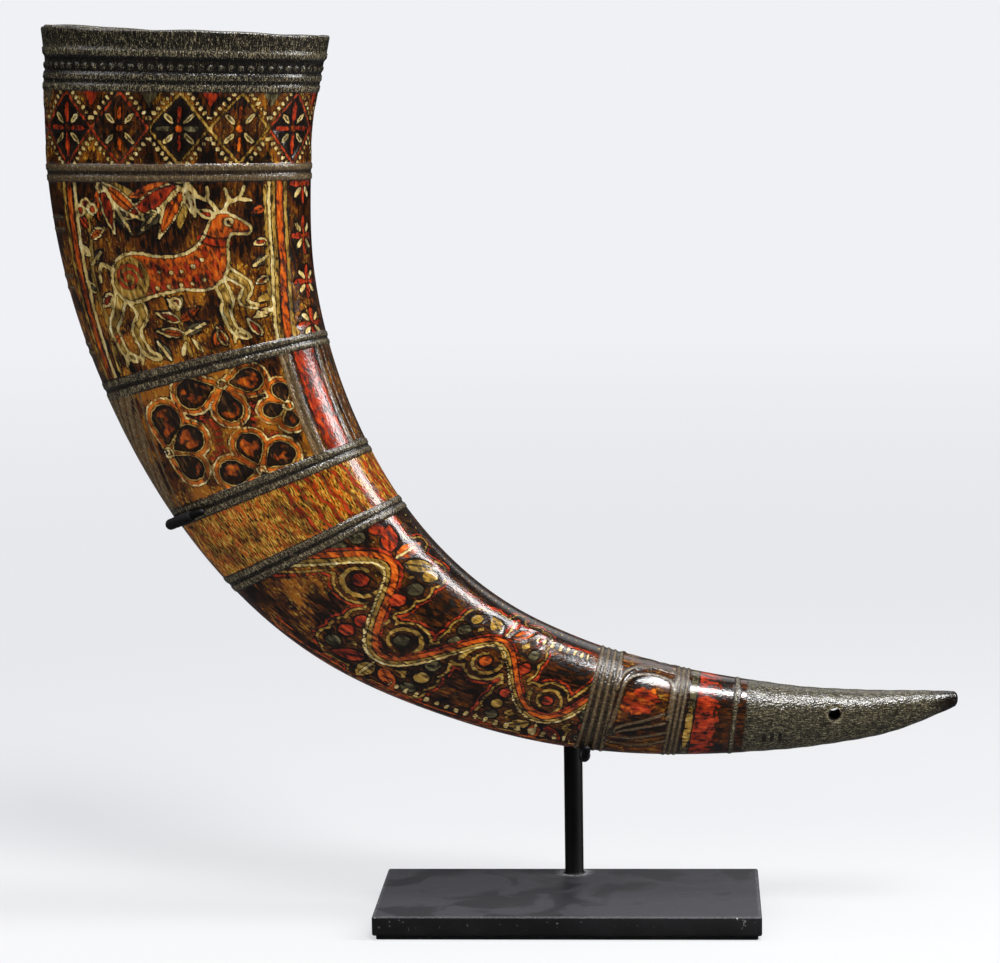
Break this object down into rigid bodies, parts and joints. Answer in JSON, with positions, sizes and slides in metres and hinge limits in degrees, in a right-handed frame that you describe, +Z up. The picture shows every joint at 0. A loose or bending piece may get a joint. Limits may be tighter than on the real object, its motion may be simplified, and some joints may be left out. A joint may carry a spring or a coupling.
{
  "type": "drinking horn",
  "caption": "Curved hollow drinking horn with raised rings and a drilled solid tip, lifting freely off the padded hooks of a flat-based steel display stand.",
  "frame": {"origin": "middle of the base pad's underside, where the stand meets the table", "axes": "+X along the horn towards its tip, +Y away from the viewer towards the post, +Z up"},
  "size_m": [0.2973, 0.0636, 0.2974],
  "materials": {
    "lacquered_horn": "carved natural horn, painted and lacquered, raw and speckled at the lip, rings and tip",
    "black_paint": "satin black paint on steel",
    "felt": "black pressed felt",
    "soft_sleeve": "matt black soft tubing",
    "bright_steel": "plain steel"
  },
  "bodies": {
    "stand": {"base_plate": "black_paint", "base_pad": "felt", "post": "black_paint", "post_screw": "bright_steel", "spine": "black_paint", "upper_hook": "black_paint", "upper_hook_sleeve": "soft_sleeve", "lower_hook": "black_paint", "lower_hook_sleeve": "soft_sleeve"},
    "horn": {"horn": "lacquered_horn"}
  },
  "joints": [
    {"name": "horn_lift", "type": "slide", "parent": "stand", "child": "horn", "axis": [0, 0, 1], "range_m": [0, 0.12]}
  ]
}
